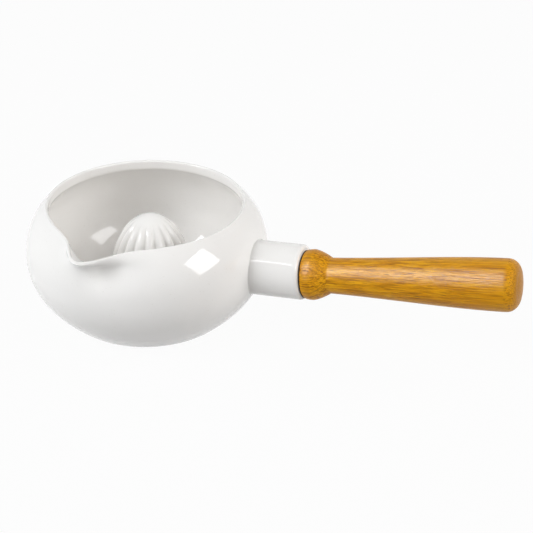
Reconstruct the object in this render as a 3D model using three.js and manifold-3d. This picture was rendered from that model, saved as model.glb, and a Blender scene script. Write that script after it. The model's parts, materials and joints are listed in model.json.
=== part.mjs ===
// Ceramic citrus juicer: a round-bellied glazed bowl with a pinched pouring spout, a ribbed reamer
// standing on its floor, and a turned wooden grip that screws into a ceramic socket on the bowl's side.
// Millimetres. +Z is up, the origin is the middle of the flat foot, and the grip points along +X.
import * as THREE from 'three';
import { mergeVertices } from 'three/addons/utils/BufferGeometryUtils.js';
import Module from 'manifold-3d';

// Bowl, outside radii and heights
const BOWL_RADIUS = 65;
const BELLY_HEIGHT = 35.1;
const FOOT_RADIUS = 43.6;
const RIM_RADIUS = 51.8; // to the lip's upright inner face
const RIM_HEIGHT = 64; // to the top of the lip
const WALL = 4.4;
const LIP_ROUND = 1; // over the top of the lip
const LIP_EDGE = 0.8; // softened edge where the lip's inner face ends
const FLOOR = 6;
const FLOOR_COVE = 5; // height of the curve between the floor and the wall
const FOOT_CHAMFER = 0.8;
const BELOW_BELLY_POWER = 2.05; // how full the curve is from the foot to the belly
const ABOVE_BELLY_POWER = 2.45; // how full the curve is from the belly to the lip
const LIP_LEAN = THREE.MathUtils.degToRad(45); // of the wall where it runs into the lip

// Pouring spout, pinched out of the wall
const SPOUT_ANGLE = THREE.MathUtils.degToRad(-96.3); // round from the grip
const SPOUT_REACH = 16.6; // outward, at the lip
const SPOUT_HALF_ANGLE = THREE.MathUtils.degToRad(12.2);
const SPOUT_POINT = 1.8; // lower is more pointed
const SPOUT_DROP = 2.6; // of the lip
const SPOUT_DROP_ANGLE = THREE.MathUtils.degToRad(30);
const SPOUT_ROOT = 42; // height where the wall starts to lean out
const SPOUT_FLARE = 2.6; // higher keeps the lean closer to the lip

// Reamer, a ribbed hollow dome
const REAMER_RADIUS = 23.5;
const REAMER_HEIGHT = 50.2; // above its seat
const REAMER_POWER = 2.48;
const REAMER_WALL = 5;
const REAMER_OFFSET = 2.1; // from the bowl's axis, towards the grip
const RIBS = 16;
const RIB_DEPTH = 1.7;
const RIB_START = 6; // radius round the tip that has no grooves
const RIB_FULL = 18; // radius where the grooves reach their depth
const VENT_RADIUS = 2; // fires the hollow reamer safely
const VENT_OFFSET = 12; // from the middle of the reamer

// Handle line: it crosses the bowl's axis below the belly and rises outward
const HANDLE_DROP = 9.7; // below the belly
const HANDLE_TILT = THREE.MathUtils.degToRad(7.2);

// Hardware inside the handle, from the bolt outward
const BOLT_RADIUS = 4;
const BOLT_CHAMFER = 1;
const BOLT_IN_SLEEVE = 13.9; // length of machine thread held by the sleeve
const BOLT_SHANK = 10; // plain length inside the grip
const WOOD_SCREW_LENGTH = 26;
const WOOD_SCREW_TIP = 1.2; // radius where the point is cut off
const WOOD_SCREW_TAPER = 7; // length of the pointed end
const SLEEVE_WALL = 2.2;
const SLEEVE_LENGTH = 16;
const SLEEVE_RECESS = 1; // below the socket's mouth
const ANCHOR_RIM = 1.2; // collar at the sleeve's inner end, proud of the sleeve
const ANCHOR_WIDTH = 2.5;
const CEMENT_WALL = 1.9; // round the collar
const CEMENT_BEHIND = 1.2; // past the sleeve's inner end
const WASHER_THICKNESS = 0.5;
const WASHER_SLACK = 0.5; // round the bolt

// Socket, a short ceramic tube on the side of the bowl, flatter than the handle line that is bored in it
const SOCKET_WALL = 4.4;
const SOCKET_PROJECTION = 25.8; // from the bowl's belly to the mouth
const SOCKET_RISE = 1.05; // of the tube's middle above the handle line, at the mouth
const SOCKET_LEAN = THREE.MathUtils.degToRad(3.6); // of the tube against the handle line
const MOUTH_ROUND = 2;

// Grip, turned: bead, neck, swelling barrel and rounded butt
const GRIP_LENGTH = 113.6;
const BEAD_SETBACK = 1.95; // of the bead's face, inside the socket's radius
const BEAD_SWELL = 0.68;
const BEAD_LENGTH = 13.5;
const BEAD_CREST = 4.3; // from the face to the bead's widest ring
const NECK_RADIUS = 9.35;
const BARREL_RADIUS = 13.55;
const BARREL_CREST = 9.4; // from the barrel's widest ring to the butt
const BUTT_ROUND = 6.5;
const BUTT_DOME = 0.9;

// Seams: slip joints and fits keep this gap, flat faces that press together keep the smaller one
const SEAM = 0.3;
const FACE_GAP = 0.2;

// Facets
const BOWL_SIDES = 84;
const SIDES_PER_RIB = 6;
const ROUND_SIDES = 36;

// Sizes that follow
const LIP_RADIUS = RIM_RADIUS + LIP_ROUND;
const LIP_HEIGHT = RIM_HEIGHT - LIP_ROUND;
const SHOULDER_RADIUS = LIP_RADIUS + LIP_ROUND * Math.cos(LIP_LEAN);
const SHOULDER_HEIGHT = LIP_HEIGHT + LIP_ROUND * Math.sin(LIP_LEAN);
const HANDLE_HEIGHT = BELLY_HEIGHT - HANDLE_DROP;
const REAMER_SEAT = FLOOR + SEAM;
const MOUTH = BOWL_RADIUS + SOCKET_PROJECTION;
const WASHER_START = MOUTH + FACE_GAP;
const GRIP_START = WASHER_START + WASHER_THICKNESS + FACE_GAP;
const SLEEVE_END = MOUTH - SLEEVE_RECESS;
const SLEEVE_START = SLEEVE_END - SLEEVE_LENGTH;
const SLEEVE_BORE = BOLT_RADIUS + SEAM;
const SLEEVE_RADIUS = SLEEVE_BORE + SLEEVE_WALL;
const ANCHOR_RADIUS = SLEEVE_RADIUS + ANCHOR_RIM;
const CEMENT_RADIUS = ANCHOR_RADIUS + SEAM + CEMENT_WALL;
const SOCKET_BORE = CEMENT_RADIUS + SEAM;
const SOCKET_RADIUS = SOCKET_BORE + SOCKET_WALL;
const BEAD_FACE_RADIUS = SOCKET_RADIUS - BEAD_SETBACK;
const BEAD_RADIUS = BEAD_FACE_RADIUS + BEAD_SWELL;

const wasm = await Module();
wasm.setup();

const point = (x, y) => new THREE.Vector2(x, y);

// A closed surface with shared vertices merged and flat triangles dropped
function closedSurface(geometry) {
  geometry.deleteAttribute('normal');
  geometry.deleteAttribute('uv');
  const merged = mergeVertices(geometry, 1e-4);
  const corners = merged.index.array;
  const kept = [];
  for (let i = 0; i < corners.length; i += 3) {
    const [a, b, c] = [corners[i], corners[i + 1], corners[i + 2]];
    if (a !== b && b !== c && c !== a) kept.push(a, b, c);
  }
  merged.setIndex(kept);
  return merged;
}

function solidFrom(geometry) {
  const vertProperties = new Float32Array(geometry.attributes.position.array);
  const triVerts = new Uint32Array(geometry.index.array);
  return new wasm.Manifold(new wasm.Mesh({ numProp: 3, vertProperties, triVerts }));
}

function geometryFrom(solid) {
  const mesh = solid.getMesh();
  const geometry = new THREE.BufferGeometry();
  geometry.setAttribute('position', new THREE.BufferAttribute(new Float32Array(mesh.vertProperties), 3));
  geometry.setIndex(new THREE.BufferAttribute(new Uint32Array(mesh.triVerts), 1));
  return geometry;
}

const cut = (geometry, cutter) => geometryFrom(solidFrom(geometry).subtract(solidFrom(cutter)));

// Thrown on the wheel: a profile of (radius, height) turned about Z
function thrown(profile, sides) {
  return closedSurface(new THREE.LatheGeometry(profile, sides, Math.PI).rotateX(Math.PI / 2));
}

// Turned on the lathe: a profile of (radius, distance) turned about X
function turned(profile) {
  return closedSurface(new THREE.LatheGeometry(profile, ROUND_SIDES).rotateZ(-Math.PI / 2));
}

// Moves each vertex in cylindrical terms: change(radius, angle, height) gives the new [radius, height]
function reshape(geometry, change) {
  const position = geometry.attributes.position;
  for (let i = 0; i < position.count; i += 1) {
    const angle = Math.atan2(position.getY(i), position.getX(i));
    const [radius, height] = change(Math.hypot(position.getX(i), position.getY(i)), angle, position.getZ(i));
    position.setXYZ(i, radius * Math.cos(angle), radius * Math.sin(angle), height);
  }
  return geometry;
}

// Outside of the bowl: two power curves that meet upright at the belly
function bowlRadiusAt(height) {
  if (height < BELLY_HEIGHT) {
    const below = (BELLY_HEIGHT - height) / BELLY_HEIGHT;
    return BOWL_RADIUS - (BOWL_RADIUS - FOOT_RADIUS) * below ** BELOW_BELLY_POWER;
  }
  const above = (height - BELLY_HEIGHT) / (SHOULDER_HEIGHT - BELLY_HEIGHT);
  return BOWL_RADIUS - (BOWL_RADIUS - SHOULDER_RADIUS) * above ** ABOVE_BELLY_POWER;
}

// A point on the bowl's wall, sunk below its outer face by depth
function wallPoint(height, depth) {
  const step = 0.01;
  const slope = (bowlRadiusAt(height + step) - bowlRadiusAt(height - step)) / (2 * step);
  const length = Math.hypot(1, slope);
  return point(bowlRadiusAt(height) - depth / length, height + (depth * slope) / length);
}

// The height of the outer face where the wall behind it meets the lip's inner face, found by halving
function lipFaceHeight() {
  let [low, high] = [BELLY_HEIGHT, SHOULDER_HEIGHT];
  for (let i = 0; i < 40; i += 1) {
    const middle = (low + high) / 2;
    if (wallPoint(middle, WALL).x > RIM_RADIUS) low = middle;
    else high = middle;
  }
  return low;
}

function evenly(from, to, steps) {
  return Array.from({ length: steps + 1 }, (_, i) => THREE.MathUtils.lerp(from, to, i / steps));
}

function bowlProfile() {
  const outside = evenly(FOOT_CHAMFER, SHOULDER_HEIGHT, 12).map((height) => wallPoint(height, 0));
  const lip = evenly(LIP_LEAN, Math.PI, 5)
    .slice(1)
    .map((turn) => point(LIP_RADIUS + LIP_ROUND * Math.cos(turn), LIP_HEIGHT + LIP_ROUND * Math.sin(turn)));
  const faceHeight = lipFaceHeight();
  const faceFoot = wallPoint(faceHeight, WALL);
  const edgeTop = point(faceFoot.x, faceFoot.y + LIP_EDGE);
  const edgeFoot = wallPoint(faceHeight - LIP_EDGE, WALL);
  const edge = new THREE.QuadraticBezierCurve(edgeTop, faceFoot, edgeFoot).getPoints(3);
  const inside = evenly(faceHeight - LIP_EDGE, 0, 12)
    .slice(1)
    .map((height) => wallPoint(height, WALL))
    .filter((place) => place.y > FLOOR + FLOOR_COVE);
  const coveTop = inside.at(-1);
  const coveFoot = point(coveTop.x - 2 * FLOOR_COVE, FLOOR);
  const coveCorner = point(coveTop.x - 0.8 * FLOOR_COVE, FLOOR + 0.15 * FLOOR_COVE);
  const cove = new THREE.QuadraticBezierCurve(coveTop, coveCorner, coveFoot).getPoints(3).slice(1);
  const foot = [point(0, 0), point(bowlRadiusAt(0) - FOOT_CHAMFER, 0)];
  return [...foot, ...outside, ...lip, ...edge, ...inside, ...cove, point(0, FLOOR)];
}

// Draws the wall out into the spout and lets the lip sag beside it
function drawSpout(radius, angle, height) {
  const past = THREE.MathUtils.euclideanModulo(angle - SPOUT_ANGLE, 2 * Math.PI);
  const turn = Math.min(past, 2 * Math.PI - past);
  const rise = THREE.MathUtils.clamp((height - SPOUT_ROOT) / (LIP_HEIGHT - SPOUT_ROOT), 0, 1);
  const pinch = Math.exp(-((turn / SPOUT_HALF_ANGLE) ** SPOUT_POINT));
  const sag = Math.exp(-((turn / SPOUT_DROP_ANGLE) ** 2));
  return [radius + SPOUT_REACH * pinch * rise ** SPOUT_FLARE, height - SPOUT_DROP * sag * rise ** 2];
}

function upright(radius, from, to, x) {
  const cylinder = new THREE.CylinderGeometry(radius, radius, to - from, 16).rotateX(Math.PI / 2);
  return closedSurface(cylinder).translate(x, 0, (from + to) / 2);
}

function juicerBowl() {
  const bowl = reshape(thrown(bowlProfile(), BOWL_SIDES), drawSpout);
  return cut(bowl, upright(VENT_RADIUS, -FLOOR, 2 * FLOOR, REAMER_OFFSET - VENT_OFFSET));
}

// The bowl as a full solid, grown by the slip seam, to shape what is stuck on its side
function bowlCutter() {
  const outside = evenly(0, SHOULDER_HEIGHT, 24).map((height) => wallPoint(height, -SEAM));
  return thrown([point(0, outside[0].y), ...outside, point(0, outside.at(-1).y)], BOWL_SIDES);
}

function domeProfile(radius, top, base) {
  const shares = evenly(0, Math.PI / 2, 10).map((turn) => Math.sin(turn));
  return shares.map((share) =>
    point(radius * Math.sqrt(1 - share ** REAMER_POWER), THREE.MathUtils.lerp(base, top, share)),
  );
}

// Round crests with narrow grooves between them, running out towards the tip
function pressRibs(radius, angle, height) {
  const groove = 1 - Math.abs(Math.cos((RIBS * angle) / 2));
  const depth = RIB_DEPTH * THREE.MathUtils.smoothstep(radius, RIB_START, RIB_FULL);
  return [radius - depth * groove, height];
}

function reamerCone() {
  const top = REAMER_SEAT + REAMER_HEIGHT;
  const outline = [point(0, REAMER_SEAT), ...domeProfile(REAMER_RADIUS, top, REAMER_SEAT)];
  const dome = reshape(thrown(outline, RIBS * SIDES_PER_RIB), pressRibs);
  const shell = RIB_DEPTH + REAMER_WALL;
  const hollowBase = REAMER_SEAT - REAMER_WALL;
  const hollow = [point(0, hollowBase), ...domeProfile(REAMER_RADIUS - shell, top - shell, hollowBase)];
  return cut(dome, thrown(hollow, ROUND_SIDES)).translate(REAMER_OFFSET, 0, 0);
}

// A ring or tube from the outline of its section, closed on itself
const ring = (outline) => turned([...outline, outline[0].clone()]);

// The tube's rings lie square to the handle line, each a little higher than the next one outward
function handleSocket(handleLine) {
  const root = BOWL_RADIUS / 2;
  const round = evenly(0, Math.PI / 2, 5).map((turn) =>
    point(SOCKET_RADIUS - MOUTH_ROUND * (1 - Math.cos(turn)), MOUTH - MOUTH_ROUND * (1 - Math.sin(turn))),
  );
  const fall = Math.tan(SOCKET_LEAN);
  const lift = new THREE.Matrix4().makeShear(0, -fall, 0, 0, 0, 0);
  lift.setPosition(0, 0, SOCKET_RISE + fall * MOUTH);
  const outside = turned([point(0, root), point(SOCKET_RADIUS, root), ...round, point(0, MOUTH)]);
  const past = MOUTH + MOUTH_ROUND;
  const bore = turned([point(0, 0), point(SOCKET_BORE, 0), point(SOCKET_BORE, past), point(0, past)]);
  return cut(cut(outside.applyMatrix4(lift), bore).applyMatrix4(handleLine), bowlCutter());
}

function threadedSleeve() {
  const shoulder = SLEEVE_START + ANCHOR_WIDTH;
  return ring([
    point(SLEEVE_BORE, SLEEVE_START),
    point(ANCHOR_RADIUS, SLEEVE_START),
    point(ANCHOR_RADIUS, shoulder),
    point(SLEEVE_RADIUS, shoulder),
    point(SLEEVE_RADIUS, SLEEVE_END),
    point(SLEEVE_BORE, SLEEVE_END),
  ]);
}

function sleeveCement() {
  const back = SLEEVE_START - CEMENT_BEHIND;
  const shoulder = SLEEVE_START + ANCHOR_WIDTH + SEAM;
  return ring([
    point(ANCHOR_RADIUS + SEAM, back),
    point(CEMENT_RADIUS, back),
    point(CEMENT_RADIUS, SLEEVE_END),
    point(SLEEVE_RADIUS + SEAM, SLEEVE_END),
    point(SLEEVE_RADIUS + SEAM, shoulder),
    point(ANCHOR_RADIUS + SEAM, shoulder),
  ]);
}

function sealingWasher() {
  const hole = BOLT_RADIUS + WASHER_SLACK;
  const end = WASHER_START + WASHER_THICKNESS;
  return ring([
    point(hole, WASHER_START),
    point(BEAD_FACE_RADIUS, WASHER_START),
    point(BEAD_FACE_RADIUS, end),
    point(hole, end),
  ]);
}

// Half outline of the hanger bolt and, grown by the seam, of the blind hole that it fills in the grip
function boltProfile(grow) {
  const shankEnd = GRIP_START + BOLT_SHANK;
  const tip = shankEnd + WOOD_SCREW_LENGTH;
  return [
    point(BOLT_RADIUS + grow, shankEnd),
    point(BOLT_RADIUS + grow, tip - WOOD_SCREW_TAPER),
    point(WOOD_SCREW_TIP + grow, tip + grow),
    point(0, tip + grow),
  ];
}

function hangerBolt() {
  const start = SLEEVE_END - BOLT_IN_SLEEVE;
  return turned([
    point(0, start),
    point(BOLT_RADIUS - BOLT_CHAMFER, start),
    point(BOLT_RADIUS, start + BOLT_CHAMFER),
    point(BOLT_RADIUS, GRIP_START),
    ...boltProfile(0),
  ]);
}

function handleGrip() {
  const at = (radius, distance) => point(radius, GRIP_START + distance);
  const hole = [...boltProfile(SEAM).reverse(), at(BOLT_RADIUS + SEAM, 0)];
  const face = new THREE.QuadraticBezierCurve(
    at(BEAD_FACE_RADIUS, 0),
    at(BEAD_RADIUS, 0.3 * BEAD_CREST),
    at(BEAD_RADIUS, BEAD_CREST),
  );
  const bead = new THREE.QuadraticBezierCurve(
    at(BEAD_RADIUS, BEAD_CREST),
    at(BEAD_RADIUS - BEAD_SWELL, BEAD_CREST + 0.42 * (BEAD_LENGTH - BEAD_CREST)),
    at(NECK_RADIUS, BEAD_LENGTH),
  );
  const barrelLength = GRIP_LENGTH - BARREL_CREST - BEAD_LENGTH;
  const barrel = new THREE.CubicBezierCurve(
    at(NECK_RADIUS, BEAD_LENGTH),
    at(NECK_RADIUS + 0.25 * (BARREL_RADIUS - NECK_RADIUS), BEAD_LENGTH + 0.34 * barrelLength),
    at(BARREL_RADIUS, BEAD_LENGTH + 0.72 * barrelLength),
    at(BARREL_RADIUS, BEAD_LENGTH + barrelLength),
  );
  const round = evenly(0, Math.PI / 2, 5).map((turn) =>
    at(
      BARREL_RADIUS - BUTT_ROUND * (1 - Math.cos(turn)),
      GRIP_LENGTH - BUTT_DOME - BUTT_ROUND * (1 - Math.sin(turn)),
    ),
  );
  return turned([
    ...hole,
    ...face.getPoints(3),
    ...bead.getPoints(5).slice(1),
    ...barrel.getPoints(10).slice(1),
    ...round,
    at(0, GRIP_LENGTH),
  ]);
}

function finish(color, roughness, metalness = 0) {
  return new THREE.MeshStandardMaterial({ color, roughness, metalness });
}

const GLAZE = finish(0xf1efec, 0.12);
const WOOD = finish(0xc98a2e, 0.4);
const BRASS = finish(0xc9a24a, 0.35, 1);
const STEEL = finish(0xb4b6b8, 0.35, 1);
const CEMENT = finish(0xbdb8ae, 0.95);
const FIBRE = finish(0x1d1712, 0.8);

function piece(name, geometry, material) {
  const mesh = new THREE.Mesh(geometry, material);
  mesh.name = name;
  return mesh;
}

// Everything turned lies along the handle line
const handle = new THREE.Group();
handle.position.z = HANDLE_HEIGHT;
handle.rotation.y = -HANDLE_TILT;
handle.updateMatrix();
handle.add(
  piece('threaded_sleeve', threadedSleeve(), BRASS),
  piece('sleeve_cement', sleeveCement(), CEMENT),
  piece('sealing_washer', sealingWasher(), FIBRE),
  piece('hanger_bolt', hangerBolt(), STEEL),
  piece('handle_grip', handleGrip(), WOOD),
);

const juicer = new THREE.Group();
juicer.add(
  piece('juicer_bowl', juicerBowl(), GLAZE),
  piece('reamer_cone', reamerCone(), GLAZE),
  piece('handle_socket', handleSocket(handle.matrix), GLAZE),
  handle,
);

export default juicer;
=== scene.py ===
# Ceramic citrus juicer: a glazed bowl with a pinched spout, a ribbed reamer standing in it, and a turned
# wooden grip that screws into a socket on the bowl's side. Metres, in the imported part's own frame.
import json
import math

import bmesh
import bpy
import numpy as np
from mathutils import Matrix, Vector


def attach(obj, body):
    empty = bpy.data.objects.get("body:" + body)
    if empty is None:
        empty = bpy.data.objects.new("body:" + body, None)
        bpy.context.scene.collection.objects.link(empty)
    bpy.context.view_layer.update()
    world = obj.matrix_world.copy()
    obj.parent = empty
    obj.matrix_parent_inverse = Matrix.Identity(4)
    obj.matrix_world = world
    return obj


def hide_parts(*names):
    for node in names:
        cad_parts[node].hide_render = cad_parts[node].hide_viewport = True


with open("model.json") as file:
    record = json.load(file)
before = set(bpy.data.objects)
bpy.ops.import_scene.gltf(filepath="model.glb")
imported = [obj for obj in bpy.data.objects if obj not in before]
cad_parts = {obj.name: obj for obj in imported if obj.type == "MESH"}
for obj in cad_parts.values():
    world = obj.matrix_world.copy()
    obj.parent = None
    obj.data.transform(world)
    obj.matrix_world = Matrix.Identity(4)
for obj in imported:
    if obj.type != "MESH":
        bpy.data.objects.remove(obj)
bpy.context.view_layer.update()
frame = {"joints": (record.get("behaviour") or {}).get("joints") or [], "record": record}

# The bowl
# Slip-cast stoneware with a round belly, a mouth cut upright through the wall and a spout pinched out of it
# while wet. White glaze covers it inside and out, but not the foot that stood on the kiln shelf.
belly_radius = 0.065
belly_height = 0.0351
below_belly_power = 2.05
above_belly_power = 2.45
foot_radius = 0.0436
foot_edge = 0.0008
wall = 0.0044
floor_height = 0.006
cove_height = 0.005
cove_width = 0.010
cove_corner_in = 0.004
cove_corner_up = 0.00075
mouth_radius = 0.0518
rim_height = 0.064
lip_round = 0.001
lip_edge = 0.0008
lip_lean = math.radians(45)
lip_radius = mouth_radius + lip_round
lip_height = rim_height - lip_round
shoulder_radius = lip_radius + lip_round * math.cos(lip_lean)
shoulder_height = lip_height + lip_round * math.sin(lip_lean)

spout_angle = math.radians(-96.3)
spout_half_angle = math.radians(12.2)
spout_sag_angle = math.radians(30)
spout_reach = 0.0166
spout_sag = 0.0026
spout_root = 0.042
spout_point = 1.8
spout_flare = 2.6
bowl_sides = 320
spout_crowding = 2

# A finger pressed the wall in under the lip, on the grip's side of the spout.
squeeze_depth = 0.0048
squeeze_inside = 0.5
squeeze_angle = math.radians(8)
squeeze_near_spout = math.radians(8)
squeeze_near_grip = math.radians(17)
squeeze_height = 0.0548
squeeze_above = 0.0046
squeeze_below = 0.009

vent_radius = 0.002
vent_place = -0.0099
vent_sides = 32
drill_bottom = -0.01
drill_top = 0.02

white_glaze = (0.912, 0.894, 0.87, 1)
cloudy_glaze = (0.892, 0.87, 0.842, 1)
speck_brown = (0.60, 0.55, 0.48, 1)
# Grey for thicker glaze in the reamer's grooves, which also paints shade there, and painted shade round the
# socket's root.
pooled_and_shaded_grey = (0.72, 0.70, 0.67, 1)
biscuit_dark = (0.60, 0.53, 0.43, 1)
biscuit_light = (0.70, 0.64, 0.54, 1)
biscuit_dullness = (0.8, 0.8, 0.8, 1)
bare_up_to = 0.0001
glazed_from = 0.0004


def bowl_radius(height):
    """Outside radius at a height: two curves that meet upright at the belly."""
    below = np.clip(1 - height / belly_height, 0, None)
    above = np.clip((height - belly_height) / (shoulder_height - belly_height), 0, None)
    drawn_in_below = (belly_radius - foot_radius) * below**below_belly_power
    drawn_in_above = (belly_radius - shoulder_radius) * above**above_belly_power
    return belly_radius - drawn_in_below - drawn_in_above


def wall_points(heights, depth):
    """Points of (radius, height) sunk square to the wall, from those heights on its outside."""
    step = 1e-5
    slope = (bowl_radius(heights + step) - bowl_radius(heights - step)) / (2 * step)
    length = np.hypot(1, slope)
    return np.stack([bowl_radius(heights) - depth / length, heights + depth * slope / length], axis=1)


def bezier(corners, count):
    """Points on the curve that leaves the first corner, leans to those between and ends on the last."""
    t = np.linspace(0, 1, count)[:, None]
    points = [np.array(corner, float) + 0 * t for corner in corners]
    while len(points) > 1:
        points = [a + (b - a) * t for a, b in zip(points, points[1:])]
    return points[0]


def arc(middle, radius, start, end, count):
    turn = np.linspace(start, end, count)
    return np.stack([middle[0] + radius * np.cos(turn), middle[1] + radius * np.sin(turn)], axis=1)


def bowl_section():
    """Half section before the spout is drawn, from the middle of the foot to the middle of the floor."""
    underside = [(radius, 0) for radius in np.linspace(0, foot_radius - 2 * foot_edge, 12)]
    edge_end = bowl_radius(foot_edge), foot_edge
    edge = bezier([(foot_radius - foot_edge, 0), (foot_radius, 0), edge_end], count=5)
    outside = wall_points(np.linspace(foot_edge, shoulder_height, 64), depth=0)[1:]
    rolled = arc((lip_radius, lip_height), lip_round, lip_lean, math.pi, count=14)[1:]
    tries = np.linspace(belly_height, shoulder_height, 400)
    face_end = np.interp(-mouth_radius, -wall_points(tries, wall)[:, 0], tries)
    inside = wall_points(np.linspace(face_end, 0, 72), wall)
    face_foot = inside[0] + (0, lip_edge)
    face = [(mouth_radius, height) for height in np.linspace(lip_height, face_foot[1], 7)[1:-1]]
    under_lip = wall_points(np.array([face_end - lip_edge]), wall)[0]
    softened = bezier([face_foot, inside[0], under_lip], count=8)
    inside = inside[(inside[:, 1] < under_lip[1]) & (inside[:, 1] > floor_height + cove_height)]
    cove_top = inside[-1]
    cove_corner = cove_top[0] - cove_corner_in, floor_height + cove_corner_up
    cove_foot = cove_top[0] - cove_width, floor_height
    cove = bezier([cove_top, cove_corner, cove_foot], count=12)[1:]
    floor = [(radius, floor_height) for radius in np.linspace(cove_foot[0], 0, 12)[1:]]
    return np.concatenate([underside, edge, outside, rolled, face, softened, inside, cove, floor])


def draw_spout(radius, angle, height):
    """The wall drawn out into the spout, and pressed in beside it. The inside follows the finger less."""
    from_spout = (angle - spout_angle + math.pi) % math.tau - math.pi
    turn = np.abs(from_spout)
    rise = np.clip((height - spout_root) / (lip_height - spout_root), 0, 1)
    pinch = np.exp(-((turn / spout_half_angle) ** spout_point))
    sag = np.exp(-((turn / spout_sag_angle) ** 2))
    width = np.where(from_spout < squeeze_angle, squeeze_near_spout, squeeze_near_grip)
    beside = np.exp(-(((from_spout - squeeze_angle) / width) ** 2))
    spread = np.where(height > squeeze_height, squeeze_above, squeeze_below)
    under = np.exp(-(((height - squeeze_height) / spread) ** 2))
    share = np.clip((radius - bowl_radius(height)) / (wall / 2) + 1, squeeze_inside, 1)
    drawn = radius + spout_reach * pinch * rise**spout_flare
    return drawn - squeeze_depth * beside * under * share, height - spout_sag * sag * rise**2


def rows_round(radii, turns, heights):
    """Rows of points that go round the upright axis."""
    return np.stack(np.broadcast_arrays(radii * np.cos(turns), radii * np.sin(turns), heights), axis=-1)


def new_object(name, data):
    made = bpy.data.objects.new(name, data)
    bpy.context.scene.collection.objects.link(made)
    return made


def face_outward(mesh, merge=0.0):
    """Turns every face outward, once points that lie closer together than merge are one."""
    form = bmesh.new()
    form.from_mesh(mesh)
    if merge:
        bmesh.ops.remove_doubles(form, verts=form.verts, dist=merge)
        bmesh.ops.dissolve_degenerate(form, edges=form.edges, dist=merge / 10)
    bmesh.ops.recalc_face_normals(form, faces=form.faces)
    form.to_mesh(mesh)
    form.free()


def skin(name, rows, ring=False):
    """A closed mesh over rows of points that each go once round. A ring joins its last row to its first."""
    ids = np.arange(rows.shape[0] * rows.shape[1]).reshape(rows.shape[:2])
    lower = ids if ring else ids[:-1]
    upper = np.roll(ids, -1, axis=0) if ring else ids[1:]
    corners = [lower, np.roll(lower, -1, axis=1), np.roll(upper, -1, axis=1), upper]
    mesh = bpy.data.meshes.new(name)
    mesh.from_pydata(rows.reshape(-1, 3).tolist(), [], np.stack(corners, axis=-1).reshape(-1, 4).tolist())
    face_outward(mesh, merge=1e-7)
    return new_object(name, mesh)


def smooth(piece, crease_degrees):
    piece.data.shade_smooth()
    piece.data.set_sharp_from_angle(angle=math.radians(crease_degrees))


def make_plain(piece, modifier):
    """Gives the piece what the modifier makes of it as its own mesh, and takes the modifier off."""
    bpy.context.view_layer.update()
    graph = bpy.context.evaluated_depsgraph_get()
    made = piece.evaluated_get(graph)
    mesh = bpy.data.meshes.new_from_object(made, preserve_all_data_layers=True, depsgraph=graph)
    piece.modifiers.remove(modifier)
    piece.data = mesh


def drill_vent(piece):
    """The small hole through the floor that lets the hollow reamer breathe in the kiln."""
    turns = np.arange(vent_sides) * math.tau / vent_sides
    radii = np.array([[0], [vent_radius], [vent_radius], [0]])
    heights = np.array([[drill_bottom], [drill_bottom], [drill_top], [drill_top]])
    drill = skin("vent_drill", rows_round(radii, turns, heights))
    drill.data.transform(Matrix.Translation((vent_place, 0, 0)))
    hole = piece.modifiers.new("vent", "BOOLEAN")
    hole.object = drill
    hole.operation = "DIFFERENCE"
    make_plain(piece, hole)
    bpy.data.objects.remove(drill)


def add(tree, kind, inputs=None, **options):
    """A node with its options set, and each named input set to a value or linked to another node's output."""
    node = tree.nodes.new(kind)
    for option, value in options.items():
        setattr(node, option, value)
    for name, value in (inputs or {}).items():
        if isinstance(value, bpy.types.NodeSocket):
            tree.links.new(value, node.inputs[name])
        else:
            node.inputs[name].default_value = value
    return node


def new_material(name):
    """A material with its tree, its shader and the place on the object that its patterns start from."""
    material = bpy.data.materials.new(name)
    material.use_nodes = True
    tree = material.node_tree
    place = add(tree, "ShaderNodeTexCoord").outputs["Object"]
    return material, tree, tree.nodes["Principled BSDF"], place


def blended(tree, share, first, second):
    """A colour, or the number in its place, from first at share 0 to second at share 1."""
    mixed = add(tree, "ShaderNodeMix", {0: share, 6: first, 7: second}, data_type="RGBA")
    return mixed.outputs[2]


def ramped(tree, value, low, high, start=0.0, end=1.0):
    """A number that goes from start to end while value goes from low to high, and stays there."""
    spread = {"Value": value, "From Min": low, "From Max": high, "To Min": start, "To Max": end}
    return add(tree, "ShaderNodeMapRange", spread).outputs[0]


def noise(tree, place, scale, detail, roughness=0.5):
    """Soft random patches between 0 and 1, about scale of them to the metre."""
    pattern = {"Vector": place, "Scale": scale, "Detail": detail, "Roughness": roughness}
    return add(tree, "ShaderNodeTexNoise", pattern).outputs["Fac"]


def roughen(tree, shader, height, strength, distance):
    bump = add(tree, "ShaderNodeBump", {"Strength": strength, "Distance": distance, "Height": height})
    tree.links.new(bump.outputs[0], shader.inputs["Normal"])


def glaze():
    """Thick white glaze with faint clouds and specks, painted shade greying its grooves and creases, and bare
    under the foot.
    """
    material, tree, shader, place = new_material("bowl_glaze")
    clouds = noise(tree, place, scale=24.0, detail=3.0)
    white = blended(tree, clouds, cloudy_glaze, white_glaze)
    grain = noise(tree, place, scale=1300.0, detail=0.0)
    speckled = blended(tree, ramped(tree, grain, 0.77, 0.84, end=0.2), white, speck_brown)
    # Painted shade: the glaze greys in the reamer's grooves, where it also lies thicker, and round the
    # socket's root.
    pool_and_shade = add(tree, "ShaderNodeAttribute", attribute_name="glaze_pool_and_painted_shade").outputs["Fac"]
    pooled_and_shaded = blended(tree, pool_and_shade, speckled, pooled_and_shaded_grey)
    height = add(tree, "ShaderNodeSeparateXYZ", {"Vector": place}).outputs["Z"]
    bare = ramped(tree, height, bare_up_to, glazed_from, start=1.0, end=0.0)
    biscuit = blended(tree, grain, biscuit_dark, biscuit_light)
    tree.links.new(blended(tree, bare, pooled_and_shaded, biscuit), shader.inputs["Base Color"])
    gloss = ramped(tree, clouds, 0.3, 0.7, start=0.025, end=0.05)
    tree.links.new(blended(tree, bare, gloss, biscuit_dullness), shader.inputs["Roughness"])
    ripple = noise(tree, place, scale=70.0, detail=1.0)
    roughen(tree, shader, ripple, strength=0.06, distance=0.001)
    return material


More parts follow.
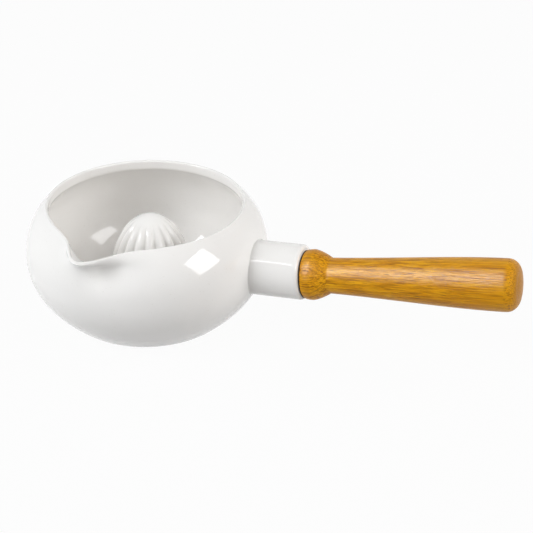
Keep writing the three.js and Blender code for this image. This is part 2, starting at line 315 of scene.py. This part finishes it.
section = bowl_section()
sweep = np.linspace(-1, 1, bowl_sides, endpoint=False)
angles = spout_angle + math.pi * np.sinh(spout_crowding * sweep) / math.sinh(spout_crowding)
radii, heights = draw_spout(section[:, :1], angles[None, :], section[:, 1:])
bowl = skin("bowl", rows_round(radii, angles, heights))
drill_vent(bowl)
smooth(bowl, crease_degrees=50)
bowl_glaze = glaze()
bowl.data.materials.append(bowl_glaze)
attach(bowl, "bowl")
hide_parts("juicer_bowl")

# The reamer
# A hollow dome of the same clay, pressed with sixteen round ribs and stuck to the bowl's floor with slip.
# Its grooves run out towards the tip. The glaze lies thicker in them, and the grey it is given there also
# paints shade into them.
reamer_sizes = {
    "Seat": floor_height,
    "Radius": 0.0235,
    "Height": 0.0505,
    "Fullness": 2.48,
    "Wall": 0.005,
    "Ribs": 16,
    "Groove": 0.0017,
    "Groove softness": 0.16,
    "Groove start": 0.006,
    "Groove full": 0.018,
    "Fillet": 0.0022,
    "Fillet steepness": 0.7,
    "Material": bowl_glaze,
}
reamer_offset = 0.0021
sides_per_rib = 18


class Number:
    """A number in a node tree. Arithmetic on it adds Math nodes, so that a shape reads as a formula."""

    def __init__(self, tree, socket):
        self.tree = tree
        self.socket = socket

    def maths(self, operation, *others, clamp=False):
        node = self.tree.nodes.new("ShaderNodeMath")
        node.operation = operation
        node.use_clamp = clamp
        for slot, value in zip(node.inputs, (self, *others)):
            if isinstance(value, Number):
                self.tree.links.new(value.socket, slot)
            else:
                slot.default_value = value
        return Number(self.tree, node.outputs[0])

    def __add__(self, other):
        return self.maths("ADD", other)

    def __sub__(self, other):
        return self.maths("SUBTRACT", other)

    def __rsub__(self, other):
        return self * -1 + other

    def __mul__(self, other):
        return self.maths("MULTIPLY", other)

    def __truediv__(self, other):
        return self.maths("DIVIDE", other)

    def __pow__(self, other):
        return self.maths("POWER", other)

    def between_0_and_1(self):
        return self.maths("ADD", 0.0, clamp=True)


def new_shape(name, sizes):
    """A geometry tree with one named input for each size, and those inputs as numbers."""
    tree = bpy.data.node_groups.new(name, "GeometryNodeTree")
    kinds = {int: "NodeSocketInt", float: "NodeSocketFloat"}
    for size, value in sizes.items():
        kind = kinds.get(type(value), "NodeSocketMaterial")
        tree.interface.new_socket(size, in_out="INPUT", socket_type=kind)
    tree.interface.new_socket("Shape", in_out="OUTPUT", socket_type="NodeSocketGeometry")
    given = add(tree, "NodeGroupInput").outputs
    return tree, {size: Number(tree, given[size]) for size in sizes}


def revolved(tree, around, along, form, mark=None):
    """A sheet of around by along faces, wrapped about Z: form(u, v) gives its radius and height."""
    cells = {"Size X": 1.0, "Size Y": 1.0, "Vertices X": around + 1, "Vertices Y": along + 1}
    sheet = add(tree, "GeometryNodeMeshGrid", cells).outputs["Mesh"]
    flat = add(tree, "GeometryNodeInputPosition").outputs[0]
    flat = add(tree, "ShaderNodeSeparateXYZ", {0: flat})
    u = Number(tree, flat.outputs["X"]) + 0.5
    v = Number(tree, flat.outputs["Y"]) + 0.5
    radius, height = form(u, v)
    turn = u * math.tau
    x = radius * turn.maths("COSINE")
    y = radius * turn.maths("SINE")
    if mark:
        stored = {"Geometry": sheet, "Name": mark[0], "Value": mark[1](u, v).socket}
        sheet = add(tree, "GeometryNodeStoreNamedAttribute", stored).outputs[0]
    wrapped = add(tree, "ShaderNodeCombineXYZ", {"X": x.socket, "Y": y.socket, "Z": height.socket}).outputs[0]
    return add(tree, "GeometryNodeSetPosition", {"Geometry": sheet, "Position": wrapped}).outputs[0]


def closed(tree, sheets, material):
    """Joins sheets edge to edge into the tree's result, in that material."""
    joined = add(tree, "GeometryNodeJoinGeometry")
    for sheet in sheets:
        tree.links.new(sheet, joined.inputs[0])
    whole = add(tree, "GeometryNodeMergeByDistance", {"Geometry": joined.outputs[0], "Distance": 1e-6})
    real = add(tree, "GeometryNodeRealizeInstances", {"Geometry": whole.outputs[0]})
    made = add(tree, "GeometryNodeSetMaterial", {"Geometry": real.outputs[0], "Material": material.socket})
    tree.links.new(made.outputs[0], add(tree, "NodeGroupOutput").inputs["Shape"])


def shaped(name, tree, sizes):
    """The mesh that a geometry tree makes from these sizes, as a piece with no modifier left on it."""
    piece = new_object(name, bpy.data.meshes.new(name))
    shape = piece.modifiers.new("shape", "NODES")
    shape.node_group = tree
    for item in tree.interface.items_tree:
        if item.in_out == "INPUT":
            shape[item.identifier] = sizes[item.name]
    make_plain(piece, shape)
    face_outward(piece.data)
    return piece


def ribbed_dome():
    tree, size = new_shape("ribbed_dome", reamer_sizes)

    def climb(v):
        return (v * (math.pi / 2)).maths("SINE")

    def dome(radius, rise):
        return radius * (1 - rise ** size["Fullness"]).maths("MAXIMUM", 0.0).maths("SQRT")

    def groove(u):
        crest = (u * size["Ribs"] * math.pi).maths("COSINE")
        soft = size["Groove softness"] * size["Groove softness"]
        rounded = (crest * crest + soft).maths("SQRT") - size["Groove softness"]
        deepest = (soft + 1.0).maths("SQRT") - size["Groove softness"]
        return 1 - rounded / deepest

    def fading(radius):
        share = (radius - size["Groove start"]) / (size["Groove full"] - size["Groove start"])
        share = share.between_0_and_1()
        return share * share * (3 - share * 2)

    def outside(u, v):
        rise = climb(v)
        plain = dome(size["Radius"], rise)
        fade = fading(plain)
        above_foot = rise * size["Height"] / size["Fillet"]
        foot = (1 - above_foot * size["Fillet steepness"]).between_0_and_1()
        flare = size["Fillet"] * foot * foot
        return plain - size["Groove"] * groove(u) * fade + flare, rise * size["Height"] + size["Seat"]

    def hollow(u, v):
        rise = climb(v)
        inner_radius = size["Radius"] - size["Groove"] - size["Wall"]
        inner_height = size["Height"] - size["Groove"] - size["Wall"]
        return dome(inner_radius, rise), rise * inner_height + size["Seat"]

    def base(u, v):
        low_rise = v * 0.0
        inner, height = hollow(u, low_rise)
        outer, _ = outside(u, low_rise)
        return inner + (outer - inner) * v, height

    # How deep in a groove each point lies: the grey this gives stands for thicker glaze and for painted
    # shade.
    def pool_and_shade(u, v):
        deep = groove(u)
        return deep * deep * deep * fading(dome(size["Radius"], climb(v)))

    around = reamer_sizes["Ribs"] * sides_per_rib
    sheets = [
        revolved(tree, around, along=90, form=outside, mark=("glaze_pool_and_painted_shade", pool_and_shade)),
        revolved(tree, around, along=40, form=hollow),
        revolved(tree, around, along=4, form=base),
    ]
    closed(tree, sheets, size["Material"])
    return tree


reamer = shaped("reamer", ribbed_dome(), reamer_sizes)
reamer.data.transform(Matrix.Translation((reamer_offset, 0, 0)))
smooth(reamer, crease_degrees=60)
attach(reamer, "bowl")
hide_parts("reamer_cone")

# The handle socket
# A short thrown tube stuck on the bowl's side with slip, so that the glaze runs in one fillet from the bowl
# to the tube. The tube lies a little flatter than the handle, but its bore and its mouth are cut true to it.
socket_radius = 0.0146
socket_bore = 0.0102
socket_rise = 0.00105
socket_fall = math.tan(math.radians(3.6))
mouth_round = 0.002
glaze_fillet = 0.001
sunk_in_wall = 0.0002
# How far from the bowl the painted shade in the socket's crease reaches.
crease_shade_width = 0.002
turned_sides = 128

unscrew = next(joint for joint in frame["joints"] if joint["name"] == "grip_unscrew")
mouth_middle = Vector(unscrew["pos_m"])
handle_turn = Vector(unscrew["axis"]).to_track_quat("Z", "Y")
handle_place = Matrix.Translation(mouth_middle) @ handle_turn.to_matrix().to_4x4()


def along_handle(radius, turn, distance, lift=0.0):
    """Points round the handle's line, or lifted from it. Distance is from the socket's mouth, outward."""
    across = radius * np.cos(turn)
    above = radius * np.sin(turn) + lift
    local = np.stack(np.broadcast_arrays(across, above, distance), axis=-1)
    return local @ np.array(handle_place.to_3x3()).T + np.array(mouth_middle)


def along_socket(radius, turn, distance):
    """Points round the socket's middle, which lies higher above the handle's line nearer to the bowl."""
    return along_handle(radius, turn, distance, socket_rise - socket_fall * distance)


def distance_to_bowl(around, radius, turn):
    """How far from the mouth the lines of that radius around meet the bowl's outside, found by halving."""
    near = np.full(np.broadcast_shapes(np.shape(radius), np.shape(turn)), -belly_radius)
    far = np.zeros_like(near)
    halvings = 40
    for _ in range(halvings):
        middle = (near + far) / 2
        point = around(radius, turn, middle)
        outside = np.hypot(point[..., 0], point[..., 1]) > bowl_radius(point[..., 2])
        far = np.where(outside, middle, far)
        near = np.where(outside, near, middle)
    return (near + far) / 2


turns = np.arange(turned_sides) * math.tau / turned_sides
fillet_steps = np.linspace(0, 1, 12)[:, None]
fillet_radii = socket_radius + glaze_fillet * (1 - fillet_steps) ** 2
fillet_lift = glaze_fillet * fillet_steps**2 - sunk_in_wall * (1 - fillet_steps)
fillet = distance_to_bowl(along_socket, fillet_radii, turns) + fillet_lift
mouth = arc((-mouth_round, socket_radius - mouth_round), mouth_round, math.pi / 2, 0, count=12)
tube_share = np.linspace(0, 1, 10)[1:-1, None]
tube = fillet[-1] + (mouth[0, 0] - fillet[-1]) * tube_share
bore_end = distance_to_bowl(along_handle, socket_bore, turns) - sunk_in_wall
bore = bore_end * np.linspace(0, 1, 12)[:, None]
socket_rows = [
    along_socket(fillet_radii, turns, fillet),
    along_socket(socket_radius, turns, tube),
    along_socket(mouth[:, 1:], turns, mouth[:, :1]),
    along_handle(socket_bore, turns, bore),
]
socket = skin("socket", np.concatenate(socket_rows), ring=True)
# Painted shade: the glaze greys towards the crease where the tube meets the bowl.
socket_points = np.array([vertex.co for vertex in socket.data.vertices])
off_bowl = np.hypot(socket_points[:, 0], socket_points[:, 1]) - bowl_radius(socket_points[:, 2])
crease_shade = socket.data.attributes.new("glaze_pool_and_painted_shade", "FLOAT", "POINT")
crease_shade.data.foreach_set("value", np.clip(1 - off_bowl / crease_shade_width, 0, 1) ** 2)
smooth(socket, crease_degrees=50)
socket.data.materials.append(bowl_glaze)
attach(socket, "bowl")
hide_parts("handle_socket")

# The cement
# Plaster-like jointing cement, poured round the sleeve and struck off flat just inside the mouth.
# It shows as a dull grey ring when the handle is taken off.
sleeve_end = -0.001
sleeve_length = 0.016
sleeve_radius = 0.0065
collar_radius = 0.0077
collar_width = 0.0025
cement_gap = 0.00005
cement_radius = socket_bore - cement_gap
cement_behind = 0.0012
fit = 0.0001
cement_dark = (0.44, 0.42, 0.38, 1)
cement_light = (0.64, 0.62, 0.57, 1)


def turned(name, outline, ring=True):
    """A piece turned about the handle's line, from an outline of (distance from the mouth, radius)."""
    outline = np.array(outline, float)
    return skin(name, along_handle(outline[:, 1:], turns, outline[:, :1]), ring)


def cement_material():
    material, tree, shader, place = new_material("cement")
    sand = noise(tree, place, scale=1800.0, detail=4.0)
    colour = blended(tree, ramped(tree, sand, 0.35, 0.65), cement_dark, cement_light)
    tree.links.new(colour, shader.inputs["Base Color"])
    shader.inputs["Roughness"].default_value = 0.9
    roughen(tree, shader, sand, strength=0.5, distance=0.0002)
    return material


sleeve_start = sleeve_end - sleeve_length
collar_end = sleeve_start + collar_width
cement = turned("cement", [
    (sleeve_start - cement_behind, cement_radius),
    (sleeve_end, cement_radius),
    (sleeve_end, sleeve_radius + fit),
    (collar_end + fit, sleeve_radius + fit),
    (collar_end + fit, collar_radius + fit),
    (sleeve_start - cement_behind, collar_radius + fit),
])
smooth(cement, crease_degrees=30)
cement.data.materials.append(cement_material())
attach(cement, "bowl")
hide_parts("sleeve_cement")

# The threaded sleeve
# Turned brass with a collar at its inner end and a knurl that the cement grips. Its bore is tapped with
# the same thread as the bolt, a little wider, so that the bolt's ridges run in its grooves.
bright_brass = (0.78, 0.58, 0.24, 1)
tarnished_brass = (0.52, 0.36, 0.14, 1)


def brass():
    material, tree, shader, place = new_material("sleeve_brass")
    tarnish = noise(tree, place, scale=320.0, detail=4.0)
    colour = blended(tree, ramped(tree, tarnish, 0.35, 0.7), bright_brass, tarnished_brass)
    tree.links.new(colour, shader.inputs["Base Color"])
    tree.links.new(ramped(tree, tarnish, 0.3, 0.7, start=0.24, end=0.42), shader.inputs["Roughness"])
    shader.inputs["Metallic"].default_value = 1.0
    return material


links = frame["record"]["behaviour"]["couplings"]
screw_link = next(link for link in links if link["follows"] == "grip_unscrew")
sleeve_sizes = {
    "Start": sleeve_start,
    "Length": sleeve_length,
    "Radius": sleeve_radius,
    "Collar width": collar_width,
    "Collar rim": collar_radius - sleeve_radius,
    "Knurls": 36,
    "Knurl depth": 0.0002,
    "Bore": 0.0043,
    "Pitch": screw_link["ratio"] * math.tau,
    "Thread depth": 0.0007,
    "Material": brass(),
}
thread_sharpness = 1.3


def ridge(distance, u, pitch, sharpness):
    """The height of a right-hand screw's ridge, from 0 in its groove to 1 on its crest."""
    saw = (distance / pitch - u).maths("FRACT") * 2 - 1
    return (saw.maths("ABSOLUTE") * sharpness - (sharpness - 1) / 2).between_0_and_1()


def tapped_sleeve():
    tree, size = new_shape("tapped_sleeve", sleeve_sizes)
    bore_share = 0.46
    face_share = 0.5 - bore_share

    def section_loop(u, v):
        out = (v / bore_share).between_0_and_1()
        back = ((v - 0.5) / bore_share).between_0_and_1()
        outward = ((v - bore_share) / face_share).between_0_and_1()
        inward = ((v - 0.5 - bore_share) / face_share).between_0_and_1()
        distance = (out - back) * size["Length"] + size["Start"]
        groove = 1 - ridge(distance, u, size["Pitch"], thread_sharpness)
        tapped = size["Bore"] - size["Thread depth"] * groove
        lean = distance / size["Radius"] * size["Knurls"] / math.tau
        left = ((u * size["Knurls"] + lean).maths("FRACT") * 2 - 1).maths("ABSOLUTE")
        right = ((u * size["Knurls"] - lean).maths("FRACT") * 2 - 1).maths("ABSOLUTE")
        knurled = size["Radius"] - size["Knurl depth"] * left.maths("MAXIMUM", right)
        on_collar = (distance - size["Start"]).maths("LESS_THAN", size["Collar width"])
        outside = knurled + (size["Radius"] - knurled + size["Collar rim"]) * on_collar
        return tapped + (outside - tapped) * (outward - inward), distance

    closed(tree, [revolved(tree, around=144, along=260, form=section_loop)], size["Material"])
    return tree


sleeve = shaped("sleeve", tapped_sleeve(), sleeve_sizes)
sleeve.data.transform(handle_place)
smooth(sleeve, crease_degrees=25)
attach(sleeve, "bowl")
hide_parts("threaded_sleeve")

# The hanger bolt
# Plated steel with a machine thread at one end for the sleeve, a plain shank, and a coarse pointed wood
# screw at the other end that is driven into the grip.
grip_face = 0.0009
bolt_in_sleeve = 0.0139
bolt_in_grip = 0.036
thread_in_grip = 0.001
shank_in_grip = 0.010
wood_screw_sharpness = 2.4
dark_steel = (0.42, 0.43, 0.44, 1)
bright_steel = (0.66, 0.66, 0.65, 1)


def steel():
    material, tree, shader, place = new_material("bolt_steel")
    rubbed = noise(tree, place, scale=500.0, detail=5.0)
    colour = blended(tree, ramped(tree, rubbed, 0.3, 0.7), dark_steel, bright_steel)
    tree.links.new(colour, shader.inputs["Base Color"])
    tree.links.new(ramped(tree, rubbed, 0.3, 0.7, start=0.22, end=0.4), shader.inputs["Roughness"])
    shader.inputs["Metallic"].default_value = 1.0
    return material


bolt_sizes = {
    "Start": sleeve_end - bolt_in_sleeve,
    "End": grip_face + bolt_in_grip,
    "Radius": 0.004,
    "Chamfer": 0.001,
    "Pitch": sleeve_sizes["Pitch"],
    "Thread depth": sleeve_sizes["Thread depth"],
    "Thread end": grip_face + thread_in_grip,
    "Wood screw start": grip_face + shank_in_grip,
    "Wood screw pitch": 0.0028,
    "Wood screw depth": 0.0013,
    "Taper": 0.007,
    "Tip radius": 0.0012,
    "Runout": 0.0012,
    "Material": steel(),
}


def double_thread():
    tree, size = new_shape("double_thread", bolt_sizes)
    end_share = 0.0001

    def screw(u, v):
        length = size["End"] - size["Start"]
        distance = v * length + size["Start"]
        machine = ((size["Thread end"] - distance) / size["Runout"]).between_0_and_1()
        wood = ((distance - size["Wood screw start"]) / size["Runout"]).between_0_and_1()
        thread = ridge(distance, u, size["Pitch"], thread_sharpness)
        fine = (1 - thread) * size["Thread depth"] * machine
        blade = ridge(distance, u, size["Wood screw pitch"], wood_screw_sharpness)
        coarse = (1 - blade) * size["Wood screw depth"] * wood
        cut = size["Radius"] - fine - coarse
        lead = size["Radius"] - size["Chamfer"] + (distance - size["Start"])
        widening = (size["Radius"] - size["Tip radius"]) / size["Taper"]
        point = (size["End"] - distance) * widening + size["Tip radius"]
        trimmed = cut.maths("MINIMUM", lead).maths("MINIMUM", point)
        inside_ends = v.maths("GREATER_THAN", end_share) * v.maths("LESS_THAN", 1 - end_share)
        return trimmed * inside_ends, distance

    closed(tree, [revolved(tree, around=64, along=420, form=screw)], size["Material"])
    return tree


bolt = shaped("bolt", double_thread(), bolt_sizes)
bolt.data.transform(handle_place)
smooth(bolt, crease_degrees=25)
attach(bolt, "handle")
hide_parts("hanger_bolt")

# The sealing washer
# A thin disc of dark vulcanised fibre on the bolt, squeezed between the socket's mouth and the grip.
# Only its edge shows, as the dark line round the joint.
washer_hole = 0.0045
washer_radius = 0.01265
washer_start = 0.0002
washer_end = 0.0007
washer_round = 0.0002
fibre_black = (0.018, 0.013, 0.01, 1)
fibre_brown = (0.06, 0.042, 0.03, 1)


def fibre():
    material, tree, shader, place = new_material("washer_fibre")
    flock = noise(tree, place, scale=2600.0, detail=3.0)
    colour = blended(tree, ramped(tree, flock, 0.35, 0.7), fibre_black, fibre_brown)
    tree.links.new(colour, shader.inputs["Base Color"])
    shader.inputs["Roughness"].default_value = 0.75
    roughen(tree, shader, flock, strength=0.3, distance=0.0001)
    return material


outer_round = washer_radius - washer_round
washer = turned("washer", [
    (washer_start, washer_hole),
    *arc((washer_start + washer_round, outer_round), washer_round, math.pi, math.pi / 2, count=6),
    *arc((washer_end - washer_round, outer_round), washer_round, math.pi / 2, 0, count=6),
    (washer_end, washer_hole),
])
smooth(washer, crease_degrees=40)
washer.data.materials.append(fibre())
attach(washer, "washer")
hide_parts("sealing_washer")

# The grip
# Turned from one blank of honey-coloured wood: a bead against the washer, a narrow neck, a barrel that
# swells towards the hand and a rounded butt. Satin varnish, with the grain running along it.
grip_length = 0.1136
bead_face_radius = 0.01265
bead_radius = 0.01333
bead_crest = 0.0043
bead_length = 0.0135
neck_radius = 0.00935
barrel_radius = 0.01355
barrel_crest = 0.0094
butt_round = 0.0065
butt_dome = 0.0009
bolt_hole = 0.0043
end_grain_depth = 0.003

# Where the curves of the outline lean to, as shares of the stretch that each one covers.
face_lean = 0.3
shoulder_lean = 0.42
swell_lean = 0.34
crest_lean = 0.72
neck_lean = 0.25
dome_lean = 0.55

pith_place = (0.021, -0.017, 0)
pith_tilt = (0.03, 0.05, 0)
honey_light = (0.73, 0.331, 0.003, 1)
honey_deep = (0.624, 0.254, 0.001, 1)
ring_brown = (0.40, 0.14, 0.002, 1)
pale_streak = (0.845, 0.47, 0.016, 1)
dark_streak = (0.27, 0.09, 0.001, 1)
pore_brown = (0.25, 0.08, 0.001, 1)
fleck_brown = (0.13, 0.04, 0.002, 1)
end_brown = (0.30, 0.12, 0.004, 1)


def grip_outline():
    """Outline of (distance from the mouth, radius), from the end of the bolt's hole out to the butt."""
    barrel_end = grip_length - barrel_crest
    barrel_length = barrel_end - bead_length
    face_corner = face_lean * bead_crest, bead_radius
    face = bezier([(0, bead_face_radius), face_corner, (bead_crest, bead_radius)], count=10)
    shoulder = bead_crest + shoulder_lean * (bead_length - bead_crest), bead_face_radius
    bead = bezier([face[-1], shoulder, (bead_length, neck_radius)], count=24)[1:]
    swell_radius = neck_radius + neck_lean * (barrel_radius - neck_radius)
    swell = bead_length + swell_lean * barrel_length, swell_radius
    crest = bead_length + crest_lean * barrel_length, barrel_radius
    barrel = bezier([bead[-1], swell, crest, (barrel_end, barrel_radius)], count=90)[1:]
    round_middle = grip_length - butt_dome - butt_round, barrel_radius - butt_round
    butt = arc(round_middle, butt_round, math.pi / 2, 0, count=16)
    dome = bezier([butt[-1], (grip_length, dome_lean * round_middle[1]), (grip_length, 0)], count=14)[1:]
    screw_end = bolt_sizes["End"] - grip_face
    hole = [(screw_end, 0), (screw_end - bolt_sizes["Taper"], bolt_hole), (0, bolt_hole)]
    return np.concatenate([hole, face, bead, barrel, butt, dome]) + (grip_face, 0)


def varnished_wood():
    """Rings about a pith outside the blank, with streaks, pores and short flecks along the grain."""
    material, tree, shader, place = new_material("varnished_wood")
    lathe = {"Vector": place, "Location": mouth_middle, "Rotation": handle_turn.to_euler()}
    blank = add(tree, "ShaderNodeMapping", lathe, vector_type="TEXTURE").outputs[0]
    pith = {"Vector": blank, "Location": pith_place, "Rotation": pith_tilt}
    rings_place = add(tree, "ShaderNodeMapping", pith, vector_type="TEXTURE").outputs[0]
    rings = add(
        tree,
        "ShaderNodeTexWave",
        {"Vector": rings_place, "Scale": 120.0, "Distortion": 5.0, "Detail": 3.0, "Detail Scale": 0.35},
        wave_type="RINGS",
        rings_direction="Z",
        wave_profile="SAW",
    ).outputs["Fac"]

    def grain(across, along, detail):
        """Patches drawn out along the grip, so many to the metre across it and along it."""
        drawn_out = {"Vector": blank, "Scale": (across, across, along)}
        stretched = add(tree, "ShaderNodeMapping", drawn_out).outputs[0]
        return noise(tree, stretched, 1.0, detail, roughness=0.6)

    pores = grain(across=2600.0, along=55.0, detail=3.0)
    streaks = grain(across=1250.0, along=17.0, detail=3.0)
    flecks = grain(across=800.0, along=110.0, detail=1.0)
    patches = grain(across=60.0, along=22.0, detail=2.0)
    distance = add(tree, "ShaderNodeSeparateXYZ", {"Vector": blank}).outputs["Z"]
    grip_end = grip_face + grip_length
    stains = [
        (rings, 0.55, 1.0, 0.25, ring_brown),
        (streaks, 0.52, 0.7, 0.6, pale_streak),
        (streaks, 0.49, 0.34, 0.85, dark_streak),
        (pores, 0.5, 0.32, 0.75, pore_brown),
        (flecks, 0.67, 0.76, 0.6, fleck_brown),
        (distance, grip_end - end_grain_depth, grip_end - butt_dome, 0.62, end_brown),
    ]
    colour = blended(tree, ramped(tree, patches, 0.35, 0.65), honey_light, honey_deep)
    for pattern, none_at, full_at, strength, stain in stains:
        share = ramped(tree, pattern, none_at, full_at, end=strength)
        colour = blended(tree, share, colour, stain)
    tree.links.new(colour, shader.inputs["Base Color"])
    tree.links.new(ramped(tree, pores, 0.3, 0.7, start=0.38, end=0.28), shader.inputs["Roughness"])
    shader.inputs["Specular IOR Level"].default_value = 0.13
    roughen(tree, shader, pores, strength=0.7, distance=0.0003)
    return material


grip = turned("grip", grip_outline(), ring=False)
smooth(grip, crease_degrees=50)
grip.data.materials.append(varnished_wood())
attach(grip, "handle")
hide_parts("handle_grip")

# The studio
# A white surround and a pale floor that keeps a soft shadow, with soft boxes all round. The glaze mirrors two
# of them, a pane on the left and a box on the right. The strips that draw the highlights on the grip and the
# socket reach only that one piece, so that the bowl doesn't mirror them too.
floor_size = 8.0
floor_drop = 0.0002
floor_grey = (0.5, 0.5, 0.5, 1)
floor_white = 0.96
white = (1, 1, 1, 1)
fill_strength = 0.15


def seen_directly(tree):
    """1 for what the camera, a reflection or a clear body sees, and 0 for light that lands on a surface."""
    path = add(tree, "ShaderNodeLightPath").outputs
    seen = path["Is Camera Ray"]
    for ray in ("Is Glossy Ray", "Is Transmission Ray"):
        seen = add(tree, "ShaderNodeMath", {0: seen, 1: path[ray]}, operation="MAXIMUM").outputs[0]
    return seen


def floor_material():
    """White to the eye by the share floor_white, and for the rest a grey that takes light and shadow."""
    material = bpy.data.materials.new("pale_floor")
    material.use_nodes = True
    tree = material.node_tree
    tree.nodes.remove(tree.nodes["Principled BSDF"])
    shade = add(tree, "ShaderNodeBsdfDiffuse", {"Color": floor_grey})
    paper = add(tree, "ShaderNodeEmission", {"Color": white, "Strength": 1.0})
    share = add(tree, "ShaderNodeMath", {0: seen_directly(tree), 1: floor_white}, operation="MULTIPLY")
    mixed = add(tree, "ShaderNodeMixShader", {0: share.outputs[0], 1: shade.outputs[0], 2: paper.outputs[0]})
    tree.links.new(mixed.outputs[0], tree.nodes["Material Output"].inputs["Surface"])
    return material


floor_mesh = bpy.data.meshes.new("floor")
half = floor_size / 2
corners = [(x * half, y * half, -floor_drop) for x, y in ((-1, -1), (1, -1), (1, 1), (-1, 1))]
floor_mesh.from_pydata(corners, [], [(0, 1, 2, 3)])
floor_mesh.materials.append(floor_material())
studio_floor = new_object("floor", floor_mesh)

surround = bpy.data.worlds.new("surround")
surround.use_nodes = True
air = surround.node_tree
background = air.nodes["Background"]
background.inputs["Color"].default_value = white
brightness = ramped(air, seen_directly(air), 0.0, 1.0, start=fill_strength, end=1.0)
air.links.new(brightness, background.inputs["Strength"])
bpy.context.scene.world = surround

lamp_distance = 1.2
box_size = (0.6, 0.6)
neutral = (1.0, 1.0, 1.0)
cool = (0.95, 0.975, 1.0)


def soft_box(name, colour, aim, azimuth, elevation, size, shine=0.0, glow=0.0, roll=0.0, only=None):
    """A pane of light: shine shows in reflections, glow lights surfaces. Azimuth is round from the grip."""
    turn = math.radians(azimuth)
    lift = math.radians(elevation)
    away = Vector((math.cos(turn) * math.cos(lift), math.sin(turn) * math.cos(lift), math.sin(lift)))
    facing = away.to_track_quat("Z", "Y").to_matrix().to_4x4() @ Matrix.Rotation(math.radians(roll), 4, "Z")
    for kind, radiance in (("shine", shine), ("glow", glow)):
        if radiance == 0:
            continue
        lamp = bpy.data.lights.new(f"{name}_{kind}", "AREA")
        lamp.shape = "RECTANGLE"
        lamp.size, lamp.size_y = size
        lamp.color = colour
        lamp.energy = radiance * math.pi * size[0] * size[1]
        # A glow lamp goes without this, or a shine lamp in the same place takes half of its light.
        lamp.cycles.use_multiple_importance_sampling = kind == "shine"
        box = new_object(lamp.name, lamp)
        box.matrix_world = Matrix.Translation(Vector(aim) + away * lamp_distance) @ facing
        box.visible_diffuse = kind == "glow"
        box.visible_glossy = kind == "shine"
        if only:
            lit = bpy.data.collections.new(f"lit_by_{name}")
            lit.objects.link(only)
            box.light_linking.receiver_collection = lit


in_bowl = (0.0, 0.0, 0.04)
left_of_spout = (-0.016, -0.042, 0.04)
right_of_spout = (0.024, -0.048, 0.04)
over_handle = (0.14, 0.0, 0.045)
soft_box("left_box", cool, in_bowl, -132, 38, box_size, glow=7.4)
soft_box("left_pane", neutral, left_of_spout, -143, 39, (0.32, 0.32), shine=13.0)
soft_box("right_box", neutral, right_of_spout, -9, 26, (0.56, 0.6), shine=5.6, glow=4.9, roll=17)
soft_box("low_box", cool, in_bowl, -130, 15, box_size, glow=1.9)
soft_box("front_box", neutral, in_bowl, -60, 40, box_size, glow=0.7)
soft_box("side_box", neutral, in_bowl, 25, 35, box_size, glow=4.1)
soft_box("far_box", cool, in_bowl, 180, 25, box_size, glow=1.7)
soft_box("grip_strip", neutral, over_handle, -123, 47, (0.52, 0.04), shine=1100.0, only=grip)
soft_box("socket_strip", neutral, over_handle, -123, 47, (0.44, 0.03), shine=30.0, only=socket)
soft_box("grip_fill", neutral, over_handle, -85, 4, (0.6, 0.08), glow=9.0, only=grip)

# A long lens, on the spout's side and above, so that perspective stays as slight as in the photograph.
eye = (0.31905, -0.7013, 0.44345)
tilt_degrees = (61.396, 0.0, 19.674)
focal_length_mm = 108.56
sensor_width_mm = 36.0
lens = bpy.data.cameras.new("camera")
lens.lens = focal_length_mm
lens.sensor_width = sensor_width_mm
lens.dof.use_dof = False
camera = new_object("camera", lens)
camera.location = eye
camera.rotation_euler = [math.radians(angle) for angle in tilt_degrees]
bpy.context.scene.camera = camera
bpy.context.scene.view_settings.view_transform = "Standard"
